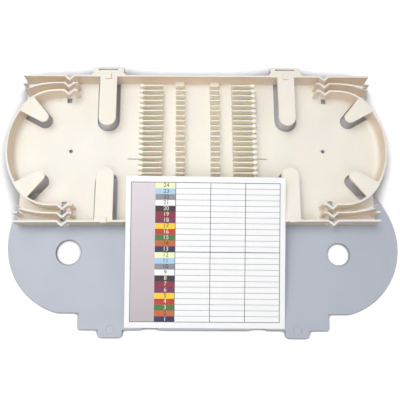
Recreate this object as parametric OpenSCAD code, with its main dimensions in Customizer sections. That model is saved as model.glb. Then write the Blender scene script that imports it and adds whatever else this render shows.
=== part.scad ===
// Fibre splice tray with its frosted dust cover and its index card, laid open on a table.
// The tray and the cover are each one moulding, and the card is stiff printed board.
// The cover lies flat, the front half of the tray rests on it, and the card leans on the tray's rim.
// Lengths are in millimetres. The table is z = 0 and the tray's length runs along X.

/* [Tray body] */
// Distance from the middle of the tray to the pin hole near each round end
end_x = 75; // [74:0.5:77]
// Distance from the middle of the tray to the tip of each round end
tip_x = 110.3; // [109:0.1:111]
// Half the width of the round ends
end_half = 35.3; // [35:0.1:35.8]
// Radius of the wide arc at the tip of each round end
tip_r = 43.5; // [42:0.5:46]
// Radius of the two shoulders of each round end
shoulder_r = 24; // [22:0.5:25]
// Distance from the long centre line to the outer face of each long wall
side_y = 44.7; // [44.5:0.1:45.5]
// Height of the walls above the floor
wall_h = 9.8; // [9:0.1:12]
// Thickness of the walls
wall_t = 1.2; // [1:0.1:1.5]
// Thickness of the floor
floor_t = 1.3; // [1:0.1:2]
// Radius of the cove where the floor meets each round end
cove_r = 2.7; // [1:0.1:3.5]
// Diameter of the small hole at the centre of each round end
pin_hole_d = 2.2; // [1.5:0.1:4]

/* [Splice combs] */
// Number of fibre slots in each comb
slot_count = 24; // [12:2:24]
// Distance from one slot to the next
slot_pitch = 3.2; // [2.8:0.05:3.3]
// Thickness of a fin
fin_t = 0.8; // [0.6:0.05:1.2]
// Height of the fins above the floor
fin_h = 8.7; // [6:0.1:9]
// Distance from the middle to the near end of the two inner combs
inner_comb_x = 7.5; // [5:0.5:10]
// Length of the fins in the inner combs
inner_fin_l = 5.4; // [4:0.1:8]
// Distance from the middle to the near end of the two outer combs
outer_comb_x = 20.6; // [20:0.1:22]
// Length of the fins in the outer combs, with their heads
outer_fin_l = 13.8; // [12:0.1:15]
// Length of the arrow head on each outer fin
head_l = 2.8; // [2:0.1:4]
// Gap for a fibre between two neighbouring heads
head_gap = 0.7; // [0.4:0.1:1.2]

/* [Retaining tongues] */
// Thickness of every tongue, whose top is level with the rim
tongue_t = 1.2; // [1:0.1:2]
// Distance from the middle to the centre line of each long tongue
long_tongue_x = 52.8; // [50:0.1:55]
// Width of a long tongue
long_tongue_w = 10; // [8:0.5:12]
// Distance from the long centre line to the tip of each long tongue
long_tongue_tip = 12.8; // [12:0.1:20]
// Width of the floor slot under a long tongue
long_slot_w = 13.2; // [12.5:0.1:15]
// Radius of the tip of a corner tongue
corner_tongue_r = 3.2; // [2.5:0.1:4]
// Angle of a corner tongue to the tray's length
corner_tongue_angle = 39.2; // [36:0.2:42]

/* [Cable ports] */
// Distance from the middle to the ends of the port mouths
mouth_x = 103; // [102:0.1:103.5]
// Length of the post that stands in each port mouth
post_l = 2.6; // [2:0.1:4]
// Thickness of the post
post_t = 1.1; // [0.8:0.1:1.4]
// Distance from the long centre line to the middle of the divider wall
divider_y = 39.45; // [39:0.05:39.8]
// Thickness of the divider wall where it starts
divider_t = 0.95; // [0.8:0.05:1.2]
// Distance from the middle to the kink that each wall has above its tie hole
kink_x = 75.9; // [75.5:0.1:76.2]
// Depth of the kink
kink_d = 2.4; // [1.5:0.1:3]
// Height of the window under each kink
window_h = 5.5; // [4:0.1:7]

/* [Latch bosses] */
// Width of each boss on the back wall
boss_w = 18; // [16:0.5:20]
// How far a boss stands out from the back wall
boss_d = 4.8; // [4:0.1:6]
// Length of the latch slit in the top of a boss
latch_slit_l = 11; // [8:0.5:13]
// Width of the latch slit
latch_slit_w = 0.6; // [0.4:0.1:1]

/* [Dust cover] */
// Thickness of the cover
cover_t = 1; // [0.8:0.1:1.5]
// Radius of the cover's round ends
cover_end_r = 40.2; // [40:0.1:41]
// Distance from the middle of the cover to the centre of each round end
cover_end_x = 71.4; // [71:0.1:72.5]
// Distance from the middle of the cover to each finger hole
finger_hole_x = 77.2; // [75:0.1:79]
// Diameter of the finger hole at the left
left_hole_d = 14.6; // [12:0.1:16]
// Diameter of the finger hole at the right
right_hole_d = 13.4; // [12:0.1:16]
// Width of each latch tab
cover_tab_w = 13.3; // [10:0.1:16]
// How far a latch tab stands out from the cover's edge
cover_tab_d = 4.2; // [3:0.1:6]

/* [Index card] */
// Width of the card
card_w = 89; // [80:1:92]
// Length of the card up its slope
card_l = 84; // [76:1:88]
// Thickness of the card
card_t = 0.4; // [0.3:0.05:0.8]

/* [Layout on the table] */
// How far the cover's middle lies to the right of the tray's middle
cover_shift_x = 3.6; // [0:0.1:6]
// How far the cover's middle lies in front of the tray's middle
cover_shift_y = 60.9; // [58:0.1:64]
// Clockwise turn of the cover on the table
cover_turn = 0.66; // [0:0.02:1]
// How far the middle of the card's lower edge lies to the right of the tray's middle
card_shift_x = 3.4; // [0:0.1:4]
// How far the card's lowest corner lies in front of the tray's middle
card_foot_y = 102.8; // [98:0.2:104]
// Clockwise turn of the card on its slope
card_turn = 0.75; // [0:0.05:1.5]

/* [Hidden] */
$fn = 96;
eps = 0.5;                                   // how far a cutter runs past what it cuts
seam_in = 0.03;                              // how far a tongue's side starts inside its round tip
side_in = side_y - wall_t;                   // inner face of the long walls
ivory = [0.96, 0.93, 0.86];
frost = [0.74, 0.79, 0.84, 0.8];
card_white = [0.98, 0.98, 0.97];

// Round ends: a wide arc at the tip runs into a shoulder on each side, which runs into a straight wall
tip_arc_x = tip_x - tip_r;
shoulder_out = 0.25;                         // how far the shoulders stand proud of the tip's arc
shoulder_y = end_half - shoulder_r;
shoulder_x = tip_arc_x + sqrt(pow(tip_r - shoulder_r, 2) - pow(shoulder_y, 2)) + shoulder_out;
shoulder_angle = asin(shoulder_y / (tip_r - shoulder_r));

// Port mouths: the floor ends straight, and reaches in as far as the round end
port_in_y = 20;
post_y = divider_y - 0.3;

// Divider wall: straight, then an upper and a lower arc that part to a forked end
horn_x = 82;
horn_upper_r = 61.8;
horn_lower_r = 46.8;
horn_tip_x = mouth_x - 1.2;
fork_root = [98.4, 36.5];
fork_spread = 0.9;
stub_x = 70.6;                               // inner end of the port walls
kink_half = 2.5;
kink_wall = 1.5;                             // thickness of the kinked strip, measured along Y

// Tie holes through the floor, one beside each port wall
tie_hole_x = [75.9, 78.7];
tie_hole_y = [[30.8, 33.9], [35.5, 38.4], [40.1, 42.4]];

// Tongues and the slots that let the mould form their undersides
long_slot_x = long_tongue_x + 0.6;
long_slot_tip = long_tongue_tip - 0.2;
corner_tongue_at = [15, 18];                 // centre of the tip, from the round end's centre
corner_tongue_taper = 11.2;
corner_slot_at = [16.2, 18.9];
corner_slot_r = 4.5;
corner_slot_taper = 9.6;
slot_ledge = 0.3;                            // floor left between a corner slot and the wall
cove_break = [23, 27];                       // where the coves stop at a corner slot, measured along Y
pip_w = 3.4;
pip_h = 0.9;

// Bosses on the back wall
boss_back = side_y + boss_d;
boss_flare = 1.3;                            // how much wider a boss is at its root, each side
latch_slit_y = boss_back - 1.3;
latch_pin_r = 0.55;
comb_foot_h = 2.8;                           // pad between each inner comb and the back wall

// Relief slit in the floor outside each outer comb
relief_x = 34.7;
relief_l = 6.5;
relief_w = 0.45;
relief_y = -4.8;

// Cover, drawn about the middle of its finger holes with its latch tabs towards -Y
cover_end_y = 5.5;
cover_low_y = -33.4;                         // straight edges of the round ends
cover_high_y = 34.7;
cover_front_y = -42.4;                       // edge that carries the latch tabs
cover_front_x = 69.7;
cover_back_y = 44;                           // edge under the tray
cover_back_x = 75.5;
cover_tab_x = 52;
cover_tab_round = 1.5;
notch_x = 30;
notch_mouth = 9.5;
notch_root = 5.5;
notch_d = 5;
dimple_r = 2.4;
dimple_d = 0.4;

// The tray turns about its back lower edge until its underside meets the cover's hidden corner
cover_edge_y = cover_back_y * cos(cover_turn) + cover_back_x * sin(cover_turn) - cover_shift_y;
tray_tilt = asin(cover_t / (boss_back - cover_edge_y));
rim_y = boss_back - (boss_back + side_y) * cos(tray_tilt) + (floor_t + wall_h) * sin(tray_tilt);
rim_z = (boss_back + side_y) * sin(tray_tilt) + (floor_t + wall_h) * cos(tray_tilt);
card_slope = atan2(rim_z - cover_t, rim_y + card_foot_y);

// The origin is under the middle of the whole layout
cover_reach_x = cover_end_x * cos(cover_turn) + cover_end_y * sin(cover_turn) + cover_end_r;
tab_corner_x = cover_tab_x + cover_tab_w / 2 - cover_tab_round;
tab_corner_y = cover_front_y - cover_tab_d + cover_tab_round;
front_reach_y = tab_corner_x * sin(cover_turn) - tab_corner_y * cos(cover_turn) + cover_tab_round;
layout_x = (cover_shift_x + cover_reach_x - tip_x) / 2;
layout_back_y = boss_back + (floor_t + wall_h) * sin(tray_tilt);
layout_y = (layout_back_y - cover_shift_y - front_reach_y) / 2;

// Repeats a shape in all four quarters of the tray
module four_corners() {
  for (sx = [0, 1], sy = [0, 1])
    mirror([sx, 0, 0]) mirror([0, sy, 0]) children();
}

// Repeats a shape at both ends of the tray
module both_ends() {
  for (sx = [0, 1])
    mirror([sx, 0, 0]) children();
}

// Rectangle between two corners
module span2d(low, high) {
  translate(low) square(high - low);
}

// Tongue outline along +X: a round tip of radius r at the origin and sides that widen by an angle
module tongue2d(r, taper, reach) {
  start = [-r * sin(taper), r * cos(taper) - seam_in];
  finish = [reach, start[1] + (reach - start[0]) * tan(taper)];
  circle(r);
  polygon([start, finish, [finish[0], -finish[1]], [start[0], -start[1]]]);
}

// Outline of the round end at +X, moved inwards by an inset
module round_end2d(inset) {
  tip_half = (tip_r - inset) * sin(shoulder_angle);
  span2d([0, inset - end_half], [shoulder_x, end_half - inset]);
  for (y = [-shoulder_y, shoulder_y])
    translate([shoulder_x, y]) circle(shoulder_r - inset);
  intersection() {
    translate([tip_arc_x, 0]) circle(tip_r - inset);
    span2d([tip_arc_x, -tip_half], [tip_x, tip_half]);
  }
}

// Outline of the tray's floor
module floor2d() {
  span2d([-end_x, -side_y], [end_x, side_y]);
  both_ends() round_end2d(0);
  four_corners() span2d([stub_x, port_in_y], [mouth_x, side_y]);
}

// Curved end of the divider wall, which widens to two prongs
module horn2d() {
  top = divider_y + divider_t / 2;
  bottom = divider_y - divider_t / 2;
  difference() {
    intersection() {
      translate([horn_x, top - horn_upper_r]) circle(horn_upper_r);
      span2d([horn_x - 0.1, bottom - 6], [horn_tip_x, top + 1]);
    }
    translate([horn_x, bottom - horn_lower_r]) circle(horn_lower_r);
    polygon([
      fork_root,
      [horn_tip_x + eps, fork_root[1] + fork_spread],
      [horn_tip_x + eps, fork_root[1] - fork_spread - 1]
    ]);
  }
}

// The three walls of one port, each with a gap where its kink stands, and the post in its mouth
module port_walls2d() {
  difference() {
    union() {
      span2d([stub_x, side_in], [mouth_x, side_y]);
      span2d([stub_x, divider_y - divider_t / 2], [horn_x, divider_y + divider_t / 2]);
      span2d([stub_x, end_half - wall_t], [end_x, end_half]);
    }
    span2d([kink_x - kink_half, end_half - wall_t - eps], [kink_x + kink_half, side_y + eps]);
  }
  horn2d();
  span2d([mouth_x - post_l, post_y - post_t / 2], [mouth_x, post_y + post_t / 2]);
}

// Wall around one round end
module end_wall2d() {
  intersection() {
    difference() {
      round_end2d(0);
      round_end2d(wall_t);
    }
    span2d([kink_x + kink_half, -end_half], [tip_x, end_half]);
  }
}

module walls2d() {
  for (sy = [0, 1])
    mirror([0, sy, 0]) span2d([-stub_x - eps, side_in], [stub_x + eps, side_y]);
  four_corners() port_walls2d();
  both_ends() end_wall2d();
}

// Kinked strips over the tie holes, which bend the same way at the back and at the front
module kinks2d(back) {
  for (wall_y = [side_y - wall_t / 2, divider_y, end_half - wall_t / 2]) {
    base = back ? wall_y : -wall_y;
    half = kink_wall / 2;
    polygon([
      [kink_x - kink_half - 0.3, base + half],
      [kink_x, base - kink_d + half],
      [kink_x + kink_half + 0.3, base + half],
      [kink_x + kink_half + 0.3, base - half],
      [kink_x, base - kink_d - half],
      [kink_x - kink_half - 0.3, base - half]
    ]);
  }
}

// Concave fillet around the foot of a curved wall of outer radius r
module cove_ring(r) {
  foot_r = r - wall_t - cove_r;
  rotate_extrude() difference() {
    span2d([foot_r, -floor_t / 2], [r - wall_t / 2, cove_r]);
    translate([foot_r, cove_r]) circle(cove_r);
  }
}

// Coves along one round end's wall, with a break at each corner slot
module end_cove() {
  intersection() {
    translate([tip_arc_x, 0, 0]) cove_ring(tip_r);
    translate([end_x, -cove_break[0], -floor_t]) cube([end_half, 2 * cove_break[0], floor_t + cove_r]);
  }
  for (sy = [0, 1])
    mirror([0, sy, 0]) intersection() {
      translate([shoulder_x, shoulder_y, 0]) cove_ring(shoulder_r);
      translate([shoulder_x, cove_break[1], -floor_t])
        cube([end_half, end_half - cove_break[1], floor_t + cove_r]);
    }
}

// One fin of an outer comb, from x = 0 to its arrow head
module headed_fin2d() {
  thin = fin_t / 2;
  wide = (slot_pitch - head_gap) / 2;
  neck = outer_fin_l - head_l;
  polygon([
    [0, thin], [neck, thin], [neck + head_l * 0.45, wide], [outer_fin_l, wide * 0.45],
    [outer_fin_l, -wide * 0.45], [neck + head_l * 0.45, -wide], [neck, -thin], [0, -thin]
  ]);
}

// All four combs
module combs2d() {
  both_ends() for (i = [0 : slot_count])
    translate([0, (i - slot_count / 2) * slot_pitch]) {
      span2d([inner_comb_x, -fin_t / 2], [inner_comb_x + inner_fin_l, fin_t / 2]);
      translate([outer_comb_x, 0]) headed_fin2d();
    }
}

// Pads that join the inner combs' line to the back wall
module comb_feet2d() {
  both_ends()
    span2d([inner_comb_x + 0.4, side_y - 4], [inner_comb_x + inner_fin_l + 0.4, side_y - wall_t / 2]);
}

module long_tongue2d() {
  r = long_tongue_w / 2;
  translate([long_tongue_x, long_tongue_tip + r]) circle(r);
  span2d([long_tongue_x - r, long_tongue_tip + r], [long_tongue_x + r, side_y - wall_t / 2]);
}

module corner_tongue2d() {
  intersection() {
    round_end2d(wall_t / 2);
    translate([end_x, 0]) translate(corner_tongue_at) rotate(corner_tongue_angle)
      tongue2d(corner_tongue_r, corner_tongue_taper, end_half / 2);
  }
}

// Floor slots under the tongues
module slots2d() {
  r = long_slot_w / 2;
  translate([long_slot_x, long_slot_tip + r]) circle(r);
  span2d([long_slot_x - r, long_slot_tip + r], [long_slot_x + r, side_in]);
  intersection() {
    round_end2d(wall_t + slot_ledge);
    translate([end_x, 0]) translate(corner_slot_at) rotate(corner_tongue_angle)
      tongue2d(corner_slot_r, corner_slot_taper, end_half / 2);
  }
}

module tie_holes2d() {
  for (y = tie_hole_y)
    span2d([tie_hole_x[0], y[0]], [tie_hole_x[1], y[1]]);
}

// One boss on the back wall, hollow from below as moulded, with its latch slit
module boss() {
  half = boss_w / 2;
  skin = wall_t;
  difference() {
    translate([0, 0, -floor_t]) linear_extrude(floor_t + wall_h) polygon([
      [-half - boss_flare, side_y - wall_t / 2], [-half - boss_flare, side_y],
      [-half, side_y + boss_flare], [-half, boss_back],
      [half, boss_back], [half, side_y + boss_flare],
      [half + boss_flare, side_y], [half + boss_flare, side_y - wall_t / 2]
    ]);
    translate([0, 0, -floor_t - eps]) linear_extrude(floor_t + wall_h - skin + eps)
      span2d([-half + skin, side_y], [half - skin, boss_back - skin / 2]);
    translate([0, 0, wall_h - skin - eps]) linear_extrude(skin + 2 * eps) {
      span2d([-latch_slit_l / 2, latch_slit_y - latch_slit_w / 2],
             [latch_slit_l / 2, latch_slit_y + latch_slit_w / 2]);
      translate([-latch_slit_l / 2, latch_slit_y]) circle(latch_pin_r);
    }
  }
}

// Small raised square at the root of each long tongue
module pips() {
  for (sy = [0, 1], sx = [0, 1])
    mirror([sx, 0, 0]) mirror([0, sy, 0])
      translate([long_tongue_x - pip_w / 2, side_y - wall_t - pip_w / 2, wall_h - tongue_t / 2])
        cube([pip_w, pip_w, tongue_t / 2 + pip_h]);
}

// The whole tray about its own middle, with the top of its floor at z = 0
module tray_moulding() {
  difference() {
    union() {
      translate([0, 0, -floor_t]) linear_extrude(floor_t) floor2d();
      translate([0, 0, -floor_t / 2]) linear_extrude(floor_t / 2 + wall_h) walls2d();
      translate([0, 0, -floor_t / 2]) linear_extrude(floor_t / 2 + fin_h) combs2d();
      translate([0, 0, -floor_t / 2]) linear_extrude(floor_t / 2 + comb_foot_h) comb_feet2d();
      both_ends() end_cove();
      both_ends() translate([0, 0, window_h]) linear_extrude(wall_h - window_h) {
        kinks2d(true);
        kinks2d(false);
      }
      translate([0, 0, wall_h - tongue_t]) linear_extrude(tongue_t) four_corners() {
        long_tongue2d();
        corner_tongue2d();
      }
      for (sx = [-1, 1])
        translate([sx * long_tongue_x, 0, 0]) boss();
      pips();
    }
    translate([0, 0, -floor_t - eps]) linear_extrude(floor_t + cove_r + 2 * eps)
      four_corners() slots2d();
    translate([0, 0, -floor_t - eps]) linear_extrude(floor_t + 2 * eps) {
      four_corners() tie_holes2d();
      both_ends() span2d([relief_x, relief_y - relief_w / 2],
                         [relief_x + relief_l, relief_y + relief_w / 2]);
    }
    both_ends() translate([end_x, 0, -floor_t - eps]) cylinder(d = pin_hole_d, h = floor_t + 2 * eps);
  }
}

// Outline of the cover with its latch tabs
module cover2d() {
  span2d([-cover_front_x, cover_front_y], [cover_front_x, cover_end_y]);
  span2d([-cover_back_x, cover_end_y], [cover_back_x, cover_back_y]);
  both_ends() {
    intersection() {
      translate([cover_end_x, cover_end_y]) circle(cover_end_r);
      span2d([0, cover_low_y], [cover_end_x + cover_end_r, cover_high_y]);
    }
    cover_tab2d();
  }
}

// One latch tab with rounded corners
module cover_tab2d() {
  half = cover_tab_w / 2;
  tip = cover_front_y - cover_tab_d;
  span2d([cover_tab_x - half, tip + cover_tab_round], [cover_tab_x + half, cover_end_y]);
  span2d([cover_tab_x - half + cover_tab_round, tip], [cover_tab_x + half - cover_tab_round, cover_end_y]);
  for (x = [cover_tab_x - half + cover_tab_round, cover_tab_x + half - cover_tab_round])
    translate([x, tip + cover_tab_round]) circle(cover_tab_round);
}

// Flared notch in the cover's front edge
module cover_notch2d() {
  polygon([
    [notch_x - notch_mouth / 2, cover_front_y - eps], [notch_x - notch_mouth / 2, cover_front_y],
    [notch_x - notch_root / 2, cover_front_y + notch_d], [notch_x + notch_root / 2, cover_front_y + notch_d],
    [notch_x + notch_mouth / 2, cover_front_y], [notch_x + notch_mouth / 2, cover_front_y - eps]
  ]);
}

// The whole cover about its own middle, lying on z = 0
module cover_moulding() {
  difference() {
    linear_extrude(cover_t) difference() {
      cover2d();
      both_ends() cover_notch2d();
    }
    translate([-finger_hole_x, 0, -eps]) cylinder(d = left_hole_d, h = cover_t + 2 * eps);
    translate([finger_hole_x, 0, -eps]) cylinder(d = right_hole_d, h = cover_t + 2 * eps);
    both_ends() translate([cover_tab_x, cover_front_y, cover_t - dimple_d])
      cylinder(r = dimple_r, h = dimple_d + eps);
  }
}

module tray() {
  color(ivory) translate([-layout_x, boss_back - layout_y, 0]) rotate([-tray_tilt, 0, 0])
    translate([0, -boss_back, floor_t]) tray_moulding();
}

module dust_cover() {
  color(frost) translate([cover_shift_x - layout_x, -cover_shift_y - layout_y, 0])
    rotate(-cover_turn) cover_moulding();
}

// The card stands on its right lower corner and leans along the rim
module index_card() {
  color(card_white) translate([card_shift_x - layout_x, -card_foot_y - layout_y, cover_t])
    rotate([card_slope, 0, 0]) translate([0, card_w / 2 * sin(card_turn), 0])
      rotate(-card_turn) translate([-card_w / 2, 0, 0]) cube([card_w, card_l, card_t]);
}

tray();
dust_cover();
index_card();
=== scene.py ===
import bpy
import bmesh
from itertools import combinations
from math import cos, pi, radians, sin
from mathutils import Matrix, Vector


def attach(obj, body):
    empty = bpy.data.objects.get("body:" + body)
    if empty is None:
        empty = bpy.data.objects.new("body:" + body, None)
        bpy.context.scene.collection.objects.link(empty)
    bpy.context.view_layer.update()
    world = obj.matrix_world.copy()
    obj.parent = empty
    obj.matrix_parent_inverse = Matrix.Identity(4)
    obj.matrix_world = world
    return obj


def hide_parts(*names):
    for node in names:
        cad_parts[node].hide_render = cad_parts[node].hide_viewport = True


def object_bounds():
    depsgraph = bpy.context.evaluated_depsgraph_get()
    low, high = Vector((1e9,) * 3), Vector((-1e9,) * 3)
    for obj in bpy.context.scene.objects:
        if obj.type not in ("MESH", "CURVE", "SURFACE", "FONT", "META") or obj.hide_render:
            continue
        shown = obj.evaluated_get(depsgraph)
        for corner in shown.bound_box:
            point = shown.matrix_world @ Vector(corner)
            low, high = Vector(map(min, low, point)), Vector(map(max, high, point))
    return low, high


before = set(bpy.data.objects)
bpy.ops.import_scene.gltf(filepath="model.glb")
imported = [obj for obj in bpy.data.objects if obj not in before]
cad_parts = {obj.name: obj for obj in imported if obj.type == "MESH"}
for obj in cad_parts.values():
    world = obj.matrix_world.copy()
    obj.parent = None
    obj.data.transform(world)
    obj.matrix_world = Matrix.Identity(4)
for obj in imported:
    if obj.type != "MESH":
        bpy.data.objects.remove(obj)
cadLow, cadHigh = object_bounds()
mm = 0.001
scene = bpy.context.scene


def tone(red, green, blue):
    # a colour given as 0 to 255, in the linear values that a shader takes
    return tuple(((c / 255 + 0.055) / 1.055) ** 2.4 if c > 10 else c / 3294.6 for c in (red, green, blue))


def newMaterial(name, base, roughness=0.4):
    material = bpy.data.materials.new(name)
    material.use_nodes = True
    tree = material.node_tree
    tree.nodes.clear()
    output = tree.nodes.new("ShaderNodeOutputMaterial")
    shader = tree.nodes.new("ShaderNodeBsdfPrincipled")
    tree.links.new(shader.outputs["BSDF"], output.inputs["Surface"])
    shader.inputs["Base Color"].default_value = (*base, 1)
    shader.inputs["Roughness"].default_value = roughness
    return material, tree, shader


def addNode(tree, kind, values=None, **settings):
    node = tree.nodes.new("ShaderNode" + kind)
    for key, value in settings.items():
        setattr(node, key, value)
    for key, value in (values or {}).items():
        node.inputs[key].default_value = value
    return node


def addNoise(tree, size, detail=2.0):
    # noise whose patches are about this many metres across, fixed to the object
    place = addNode(tree, "TexCoord")
    patches = addNode(tree, "TexNoise", {"Scale": 1 / size, "Detail": detail})
    tree.links.new(place.outputs["Object"], patches.inputs["Vector"])
    return patches.outputs["Fac"]


def addColour(tree, colour):
    node = addNode(tree, "RGB")
    node.outputs[0].default_value = (*colour, 1)
    return node.outputs[0]


def spread(tree, source, low, high, fromLow=0.3, fromHigh=0.7):
    # turns a texture into values from low to high
    limits = {"From Min": fromLow, "From Max": fromHigh, "To Min": low, "To Max": high}
    node = addNode(tree, "MapRange", limits)
    tree.links.new(source, node.inputs["Value"])
    return node.outputs["Result"]


def times(tree, colourOut, valueOut):
    # a colour made lighter or darker by a value
    node = addNode(tree, "VectorMath", operation="SCALE")
    tree.links.new(colourOut, node.inputs[0])
    tree.links.new(valueOut, node.inputs["Scale"])
    return node.outputs["Vector"]


def bumpFrom(tree, shader, source, height, strength):
    # each bump is laid over the ones before it
    node = addNode(tree, "Bump", {"Strength": strength, "Distance": height})
    tree.links.new(source, node.inputs["Height"])
    before = shader.inputs["Normal"]
    if before.is_linked:
        tree.links.new(before.links[0].from_socket, node.inputs["Normal"])
    tree.links.new(node.outputs["Normal"], shader.inputs["Normal"])


# which edges of a moulding get a round, and how its mesh is cleaned first
edgeRule = {
    "sharpFrom": 32,      # degrees between the faces, from which an edge is sharp
    "tightest": 50,       # degrees between two sharp edges, under which neither is rounded
    "straight": 150,      # degrees, from which an edge runs straight on
    "room": 3.0,          # shortest jog that is rounded round, in widths of the round
    "weld": 0.002,        # mm
    "flat": 0.6,          # degrees
}


def markEdges(work, edge, rule):
    # a sharp edge is rounded unless it meets another at a sliver's angle or ends in a jog too short for it
    weight = work.edges.layers.float.new("bevel_weight_edge")
    sharp = [e for e in work.edges if e.calc_face_angle() > radians(rule["sharpFrom"])]
    for e in sharp:
        e[weight] = 1
    for v in work.verts:
        for a, b in combinations(v.link_edges, 2):
            apart = (a.other_vert(v).co - v.co).angle(b.other_vert(v).co - v.co)
            if a[weight] and b[weight] and apart < radians(rule["tightest"]):
                a[weight] = b[weight] = 0
    for jog in work.edges:
        if jog.calc_length() < rule["room"] * edge * mm:
            for v in jog.verts:
                for e in v.link_edges:
                    apart = (jog.other_vert(v).co - v.co).angle(e.other_vert(v).co - v.co)
                    if e is not jog and apart < radians(rule["straight"]):
                        e[weight] = 0
    for e in work.edges:
        e.smooth = True
    for e in sharp:
        e.smooth = e[weight] > 0


def copyOf(nodeName, pieceName, edge):
    # a copy of a moulded part whose sharp edges get the small round that a mould leaves
    mesh = bpy.data.meshes.new(pieceName)
    work = bmesh.new()
    work.from_mesh(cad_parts[nodeName].data)
    bmesh.ops.remove_doubles(work, verts=work.verts, dist=edgeRule["weld"] * mm)
    bmesh.ops.dissolve_limit(work, angle_limit=radians(edgeRule["flat"]), verts=work.verts, edges=work.edges)
    work.normal_update()
    markEdges(work, edge, edgeRule)
    work.to_mesh(mesh)
    work.free()
    for name in [a.name for a in mesh.attributes if a.name in ("custom_normal", "sharp_face")]:
        mesh.attributes.remove(mesh.attributes[name])
    piece = bpy.data.objects.new(pieceName, mesh)
    scene.collection.objects.link(piece)
    rounds = piece.modifiers.new("edges", "BEVEL")
    rounds.width = edge * mm
    rounds.segments = 2
    rounds.limit_method = "WEIGHT"
    rounds.use_clamp_overlap = False
    rounds.harden_normals = True
    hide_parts(nodeName)
    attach(piece, "root")
    return piece


def outward(around, up):
    # the way out from the middle, in degrees round from the front and degrees up
    turn, lift = radians(around), radians(up)
    return Vector((cos(lift) * sin(turn), -cos(lift) * cos(turn), sin(lift)))


# where the camera stands and how it is turned
camera = {
    "azimuth": -6.053,      # degrees round from the front
    "elevation": 77.104,
    "roll": 5.863,
    "distance": 0.30339,
    "lens": 46.515,
    "aim": (-0.00116, 0.00005, 0),
}


def makeCamera(c):
    roll = radians(c["roll"])
    back = outward(c["azimuth"], c["elevation"])
    side = (-back).cross(Vector((0, 0, 1))).normalized()
    up = side.cross(-back)
    right = side * cos(roll) + up * sin(roll)
    top = up * cos(roll) - side * sin(roll)
    data = bpy.data.cameras.new("camera")
    data.lens = c["lens"]
    data.sensor_width = 36
    data.clip_start = 0.01
    data.clip_end = 20
    made = bpy.data.objects.new("camera", data)
    scene.collection.objects.link(made)
    place = Matrix((right, top, back)).transposed().to_4x4()
    place.translation = Vector(c["aim"]) + back * c["distance"]
    made.matrix_world = place
    scene.camera = made


makeCamera(camera)
print("camera ready")

# the studio: square soft boxes, the strongest ones high at the back left and the left
studio = {
    "surround": 0.03,                   # light from all round
    # degrees round from the front, degrees up, metres away, metres wide, share of a white face's light
    "lamps": {
        "overhead": (220, 71, 0.82, 0.5, 0.45),
        "left": (285, 64, 0.80, 0.8, 0.42),
        "front": (0, 57, 1.1, 0.6, 0.22),
        "right": (85, 38, 1.0, 0.6, 0.19),
        "back": (180, 35, 1.0, 0.6, 0.10),
    },
    "table": tone(166, 165, 168),
    "tableHalf": 3.0,                   # metres
    "tableDrop": 0.3,                   # mm below the object
    "paler": 0.85,                      # how far open table is paled for the camera
    "paintedShadeReach": 0.022,                 # metres, how near a thing has to be to stop that, which leaves painted shade round it
    # the way the paling is judged from, tilted so that the painted shade falls to the back and right of
    # things
    "paintedShadeTilt": (-0.35, -0.30, 1.0),
    "openness": (0.66, 0.84),           # where the paling starts and where it is full
}


def addLamp(name, around, up, away, size, share):
    data = bpy.data.lights.new(name, "AREA")
    data.shape = "SQUARE"
    data.size = size
    data.energy = share * (pi * away) ** 2
    made = bpy.data.objects.new(name, data)
    place = outward(around, up) * away
    made.location = place
    made.rotation_mode = "QUATERNION"
    made.rotation_quaternion = (-place).to_track_quat("-Z", "Y")
    scene.collection.objects.link(made)


def makeSurround(s):
    # soft light from all round, which the camera sees as plain white
    world = bpy.data.worlds.new("surround")
    scene.world = world
    world.use_nodes = True
    tree = world.node_tree
    tree.nodes.clear()
    output = addNode(tree, "OutputWorld")
    soft = addNode(tree, "Background", {"Color": (1, 1, 1, 1), "Strength": s["surround"]})
    blank = addNode(tree, "Background", {"Color": (1, 1, 1, 1), "Strength": 1.0})
    choose = addNode(tree, "MixShader")
    seen = addNode(tree, "LightPath")
    tree.links.new(seen.outputs["Is Camera Ray"], choose.inputs["Fac"])
    tree.links.new(soft.outputs[0], choose.inputs[1])
    tree.links.new(blank.outputs[0], choose.inputs[2])
    tree.links.new(choose.outputs[0], output.inputs["Surface"])


def tablePaper(s):
    # grey paper that the camera sees as white where nothing stands near; near things occlusion holds the
    # paling back, which paints shade round them
    material, tree, shader = newMaterial("tablePaper", s["table"], 0.7)
    bumpFrom(tree, shader, addNoise(tree, 0.004, 3), 0.00004, 0.3)
    glow = addNode(tree, "Emission", {"Color": (1, 1, 1, 1)})
    clear = addNode(tree, "AmbientOcclusion", {"Distance": s["paintedShadeReach"]}, samples=12)
    clear.inputs["Normal"].default_value = Vector(s["paintedShadeTilt"]).normalized()
    openShare = spread(tree, clear.outputs["AO"], 0, s["paler"], *s["openness"])
    lift = addNode(tree, "Math", operation="MULTIPLY")
    both = addNode(tree, "AddShader")
    seen = addNode(tree, "LightPath")
    tree.links.new(seen.outputs["Is Camera Ray"], lift.inputs[0])
    tree.links.new(openShare, lift.inputs[1])
    tree.links.new(lift.outputs[0], glow.inputs["Strength"])
    tree.links.new(shader.outputs[0], both.inputs[0])
    tree.links.new(glow.outputs[0], both.inputs[1])
    output = next(n for n in tree.nodes if n.type == "OUTPUT_MATERIAL")
    tree.links.new(both.outputs[0], output.inputs["Surface"])
    return material


def makeTable(s):
    half = s["tableHalf"]
    level = cadLow.z - s["tableDrop"] * mm
    corners = [(x * half, y * half, level) for x, y in ((-1, -1), (1, -1), (1, 1), (-1, 1))]
    mesh = bpy.data.meshes.new("table")
    mesh.from_pydata(corners, [], [(0, 1, 2, 3)])
    mesh.materials.append(tablePaper(s))
    table = bpy.data.objects.new("table", mesh)
    scene.collection.objects.link(table)


def makeStudio(s):
    makeSurround(s)
    for name, values in s["lamps"].items():
        addLamp(name, *values)
    makeTable(s)


makeStudio(studio)
scene.view_settings.view_transform = "Standard"
print("studio ready")
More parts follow.
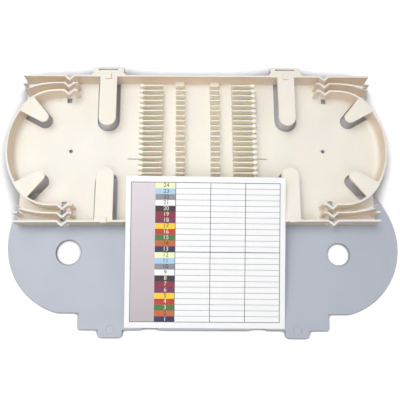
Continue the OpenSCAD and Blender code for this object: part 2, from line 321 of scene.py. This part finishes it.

# the tray: ivory moulded plastic, with painted light on it: its upright walls painted warmer as shade and
# light bounced from the floor, and its fins painted lighter as light glowing through them
tray = {
    "edge": 0.1,                     # mm, round on the moulded edges
    "body": tone(243, 236, 226),
    "side": tone(243, 227, 209),     # the walls' sides, painted warmer as shade and light bounced from the ivory floor
    "comb": tone(255, 246, 230),     # the fins, painted lighter and warmer as light glowing through them
    "satin": (0.36, 0.5),            # roughness from and to
    "lean": 0.874,                   # degrees, as the front half rests on the cover
    "middle": (-2.479, 29.269, 2.045),      # mm, the middle of the floor's upper face
    "combRows": ((7.5, 12.9), (20.6, 34.4)),      # mm from the middle, where each row of fins starts and ends
    "combHalf": 38.8,                # mm
    "combRoom": (0.2, 0.8),          # mm that a comb's zone reaches past its fins, along and across the tray
    "finFrom": 0.3,                  # mm above the floor
    "wallFrom": 0.6,
    "upright": 0.7,                  # most that an upright face's normal rises
}


def trayFrame(t):
    # from the tray's own frame to the room's
    turn = Matrix.Rotation(-radians(t["lean"]), 4, "X")
    return Matrix.Translation(Vector(t["middle"]) * mm) @ turn


def ivoryPlastic(t):
    material, tree, shader = newMaterial("ivoryPlastic", t["body"])
    # the ramp paints the upright walls warmer as bounced light and shade, and the fins lighter as light
    # glowing through them
    thin = addNode(tree, "Attribute", attribute_name="thin")
    tones = addNode(tree, "ValToRGB")
    stops = tones.color_ramp.elements
    stops[0].color = (*t["body"], 1)
    stops[1].color = (*t["comb"], 1)
    stops.new(0.5).color = (*t["side"], 1)
    tree.links.new(thin.outputs["Fac"], tones.inputs["Fac"])
    clouds = spread(tree, addNoise(tree, 0.045), 0.975, 1.015)
    specks = spread(tree, addNoise(tree, 0.0011), 0.985, 1.01)
    shaded = times(tree, times(tree, tones.outputs["Color"], clouds), specks)
    tree.links.new(shaded, shader.inputs["Base Color"])
    satin = spread(tree, addNoise(tree, 0.012, 4), *t["satin"])
    tree.links.new(satin, shader.inputs["Roughness"])
    shader.inputs["Specular IOR Level"].default_value = 0.4
    shader.inputs["Subsurface Weight"].default_value = 0.55
    shader.inputs["Subsurface Radius"].default_value = (1.0, 0.72, 0.45)
    shader.inputs["Subsurface Scale"].default_value = 0.002
    bumpFrom(tree, shader, addNoise(tree, 0.0007), 0.00002, 0.35)
    bumpFrom(tree, shader, addNoise(tree, 0.02, 1), 0.0001, 0.3)
    return material


def thinness(t, toTray, face):
    # how much painted light a face gets: 1 in the combs (painted glow), 0.5 on the upright walls (painted
    # bounce light and shade), and 0 elsewhere
    p = (toTray @ face.center) / mm
    n = toTray.to_3x3() @ face.normal
    along, across = t["combRoom"]
    inRow = any(a - along < abs(p.x) < b + along for a, b in t["combRows"])
    if inRow and abs(p.y) < t["combHalf"] + across and p.z > t["finFrom"]:
        return 1.0
    if abs(n.z) < t["upright"] and p.z > t["wallFrom"]:
        return 0.5
    return 0.0


def makeTray(t):
    piece = copyOf("tray", "trayMoulding", t["edge"])
    mesh = piece.data
    toTray = trayFrame(t).inverted()
    layer = mesh.attributes.new("thin", "FLOAT", "FACE")
    layer.data.foreach_set("value", [thinness(t, toTray, face) for face in mesh.polygons])
    mesh.materials.append(ivoryPlastic(t))


makeTray(tray)
print("tray ready")

# the dust cover: one flat frosted sheet
cover = {
    "edge": 0.12,                    # mm
    "body": tone(191, 197, 209),
    "satin": (0.36, 0.5),
}


def frostedPlastic(c):
    material, tree, shader = newMaterial("frostedPlastic", c["body"])
    clouds = spread(tree, addNoise(tree, 0.05), 0.965, 1.03)
    specks = spread(tree, addNoise(tree, 0.0009, 3), 0.97, 1.02)
    shaded = times(tree, times(tree, addColour(tree, c["body"]), clouds), specks)
    tree.links.new(shaded, shader.inputs["Base Color"])
    tree.links.new(spread(tree, addNoise(tree, 0.01, 4), *c["satin"]), shader.inputs["Roughness"])
    shader.inputs["Transmission Weight"].default_value = 0.12
    shader.inputs["IOR"].default_value = 1.49
    bumpFrom(tree, shader, addNoise(tree, 0.0005, 3), 0.00003, 0.4)
    return material


def makeCover(c):
    piece = copyOf("dust_cover", "coverSheet", c["edge"])
    piece.data.materials.append(frostedPlastic(c))


makeCover(cover)
print("cover ready")

# the index card: white board, a lilac band, a column of coloured cells and a ruled table
card = {
    "columns": (3.3, 18.4, 31.0, 52.9, 74.8, 96.5),      # percent of the width, where each strip starts
    "strips": ("band", "cell", "blank", "blank", "blank", "margin"),
    "rows": 24,
    "rowTop": 95.9,                  # percent of the length
    "rowFoot": 4.0,
    "border": 0.36,                  # mm, width of the frame's lines and the upright ones
    "rule": 0.26,
    "heavy": 0.44,
    "paper": tone(250, 250, 251),
    "band": (tone(224, 216, 222), tone(191, 180, 186)),      # at its head and at its foot; the darker foot is partly print and partly painted shade
    "ink": tone(88, 86, 92),
    "ruleInk": tone(146, 148, 152),
    "gloss": 0.42,                   # roughness of the print
    "numberHeight": 2.3,             # mm
    "numberShift": 0.4,              # mm to the right of the cell's middle
    "numberLift": 0.02,              # mm above the card
    "capShare": 0.7,                 # a figure's height over the size of its type
    "darkFrom": 330,                 # cells whose tones add up to more get dark numbers
    "darkInk": tone(52, 48, 46),
    "paleInk": tone(238, 232, 226),
    # the twelve fibre colours in their order, used once for 1 to 12 and again for 13 to 24
    "cells": {
        "navy": (40, 35, 80), "orange": (200, 100, 40), "green": (65, 120, 55), "red": (190, 50, 30),
        "yellow": (250, 210, 40), "plum": (120, 40, 85), "crimson": (140, 30, 50), "black": (50, 30, 40),
        "white": (250, 250, 250), "slate": (140, 140, 150), "sky": (170, 210, 235), "cream": (245, 250, 200),
    },
}


def upperCorner(side, far):
    # the upper one of the two corners at a side's near or far end
    pair = sorted(side, key=lambda p: p.y, reverse=far)[:2]
    return max(pair, key=lambda p: p.z)


def cardFrame():
    # origin at the card's lower left corner on its upper face, X along its width and Y up its length
    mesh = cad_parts["index_card"].data
    corners = sorted({tuple(round(a, 7) for a in v.co) for v in mesh.vertices})
    points = sorted([Vector(c) for c in corners], key=lambda p: p.x)
    left, right = points[:4], points[4:]
    footLeft = upperCorner(left, False)
    across = upperCorner(right, False) - footLeft
    along = upperCorner(left, True) - footLeft
    x, y = across.normalized(), along.normalized()
    place = Matrix((x, y, x.cross(y))).transposed().to_4x4()
    place.translation = footLeft
    thick = min((p - footLeft).length for p in points if p != footLeft)
    return place, across.length, along.length, thick


def addFibres(tree, shader, colourOut):
    # the board's faint fibres, in its tone and as bump
    fibre = spread(tree, addNoise(tree, 0.0006, 3), 0.97, 1.02)
    tree.links.new(times(tree, colourOut, fibre), shader.inputs["Base Color"])
    bumpFrom(tree, shader, addNoise(tree, 0.0008, 3), 0.000015, 0.4)


def inkMaterial(name, colour):
    material, tree, shader = newMaterial(name, colour)
    gloss = spread(tree, addNoise(tree, 0.003, 3), card["gloss"] - 0.06, card["gloss"] + 0.08)
    tree.links.new(gloss, shader.inputs["Roughness"])
    addFibres(tree, shader, addColour(tree, colour))
    return material


def bandMaterial(c, place, length):
    # the lilac band deepens towards the card's foot, partly as its print and partly as painted shade where
    # less light reaches the foot
    head, foot = c["band"]
    material, tree, shader = newMaterial("cardBand", head)
    where = addNode(tree, "TexCoord")
    along = place.to_3x3().col[1]
    reach = addNode(tree, "VectorMath", operation="DOT_PRODUCT")
    reach.inputs[1].default_value = along
    tree.links.new(where.outputs["Object"], reach.inputs[0])
    start = place.translation.dot(along)
    share = spread(tree, reach.outputs["Value"], 0, 1, start, start + length)
    mix = addNode(tree, "Mix", data_type="RGBA")
    mix.inputs[6].default_value = (*foot, 1)
    mix.inputs[7].default_value = (*head, 1)
    tree.links.new(share, mix.inputs[0])
    addFibres(tree, shader, mix.outputs[2])
    return material


def cellName(c, number):
    names = list(c["cells"])
    return names[(number - 1) % len(names)]


def cutsAcross(c, width):
    # cuts across the card, and what fills the strip after each
    half = c["border"] * mm / 2
    cuts, fill = [0.0], ["margin"]
    for percent, strip in zip(c["columns"], c["strips"]):
        x = width * percent / 100
        if strip == "cell":      # no line stands between the band and the cells
            cuts.append(x)
        else:
            cuts += [x - half, x + half]
            fill.append("line")
        fill.append(strip)
    return cuts + [width], fill


def cutsAlong(c, length, foot, pitch):
    # cuts from the foot to the head, and what fills the strip after each, with the number of its cell
    rows = c["rows"]
    cuts, fill = [0.0], [("margin", 0)]
    for i in range(rows + 1):
        kind = "border" if i in (0, rows) else "heavy" if i == rows / 2 else "rule"
        half = c[kind] * mm / 2
        cuts += [foot + i * pitch - half, foot + i * pitch + half]
        fill.append((kind, i + 1))
        fill.append(("margin", 0) if i == rows else ("row", i + 1))
    return cuts + [length], fill


def patchName(c, strip, kind, number):
    # what one patch of the print is made of
    if "margin" in (strip, kind):
        return "paper"
    if strip == "line" or kind == "border":
        return "ink"
    if strip == "band":
        return "band"
    if strip == "cell":
        return cellName(c, number)
    return {"heavy": "ink", "rule": "ruleInk"}.get(kind, "paper")


def closeBoard(work, grid, low):
    # the board's sides and back, below the edge of the printed face
    border = grid[0] + [row[-1] for row in grid[1:]]
    border += grid[-1][-2::-1] + [row[0] for row in grid[-2:0:-1]]
    under = {v: work.verts.new(v.co + low) for v in border}
    for a, b in zip(border, border[1:] + border[:1]):
        work.faces.new((b, a, under[a], under[b]))
    work.faces.new([under[v] for v in reversed(border)])


def makeBoard(c, place, width, length, thick, foot, pitch):
    materials = {
        "paper": inkMaterial("cardPaper", c["paper"]),
        "band": bandMaterial(c, place, length),
        "ink": inkMaterial("cardInk", c["ink"]),
        "ruleInk": inkMaterial("cardRule", c["ruleInk"]),
    }
    for name, rgb in c["cells"].items():
        materials[name] = inkMaterial("card" + name.capitalize(), tone(*rgb))
    index = {name: i for i, name in enumerate(materials)}

    cutsX, strips = cutsAcross(c, width)
    cutsY, kinds = cutsAlong(c, length, foot, pitch)
    work = bmesh.new()
    grid = [[work.verts.new(place @ Vector((x, y, 0))) for x in cutsX] for y in cutsY]
    for j, (kind, number) in enumerate(kinds):
        for i, strip in enumerate(strips):
            face = work.faces.new((grid[j][i], grid[j][i + 1], grid[j + 1][i + 1], grid[j + 1][i]))
            face.material_index = index[patchName(c, strip, kind, number)]
    closeBoard(work, grid, place.to_3x3().col[2] * -thick)
    bmesh.ops.recalc_face_normals(work, faces=work.faces)
    mesh = bpy.data.meshes.new("cardBoard")
    work.to_mesh(mesh)
    work.free()
    for material in materials.values():
        mesh.materials.append(material)
    board = bpy.data.objects.new("cardBoard", mesh)
    scene.collection.objects.link(board)
    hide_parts("index_card")
    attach(board, "root")


def numberText(c, number, where):
    text = bpy.data.curves.new("number", "FONT")
    text.body = str(number)
    text.size = c["numberHeight"] * mm / c["capShare"]
    text.align_x = "CENTER"
    text.align_y = "CENTER"
    holder = bpy.data.objects.new("number", text)
    scene.collection.objects.link(holder)
    holder.matrix_world = where
    return holder


def makeNumbers(c, place, width, top, pitch):
    # plain numbers in the cells, dark on the pale ones and pale on the dark ones
    cellX = width * (c["columns"][1] + c["columns"][2]) / 200 + c["numberShift"] * mm
    parts = []
    for i in range(c["rows"]):
        number = c["rows"] - i
        where = place @ Matrix.Translation((cellX, top - (i + 0.5) * pitch, c["numberLift"] * mm))
        dark = sum(c["cells"][cellName(c, number)]) > c["darkFrom"]
        parts.append((numberText(c, number, where), dark))
    bpy.context.view_layer.update()
    graph = bpy.context.evaluated_depsgraph_get()
    joined = bmesh.new()
    for holder, dark in parts:
        shape = bpy.data.meshes.new_from_object(holder.evaluated_get(graph))
        shape.transform(holder.matrix_world)
        before = len(joined.faces)
        joined.from_mesh(shape)
        joined.faces.ensure_lookup_table()
        for face in joined.faces[before:]:
            face.material_index = 0 if dark else 1
        bpy.data.meshes.remove(shape)
    for holder, dark in parts:
        bpy.data.objects.remove(holder)
    mesh = bpy.data.meshes.new("cardNumbers")
    joined.to_mesh(mesh)
    joined.free()
    mesh.materials.append(inkMaterial("numberDark", c["darkInk"]))
    mesh.materials.append(inkMaterial("numberPale", c["paleInk"]))
    numbers = bpy.data.objects.new("cardNumbers", mesh)
    scene.collection.objects.link(numbers)
    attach(numbers, "root")


def makeCard(c):
    place, width, length, thick = cardFrame()
    top = length * c["rowTop"] / 100
    foot = length * c["rowFoot"] / 100
    pitch = (top - foot) / c["rows"]
    makeBoard(c, place, width, length, thick, foot, pitch)
    makeNumbers(c, place, width, top, pitch)


makeCard(card)
print("card ready")
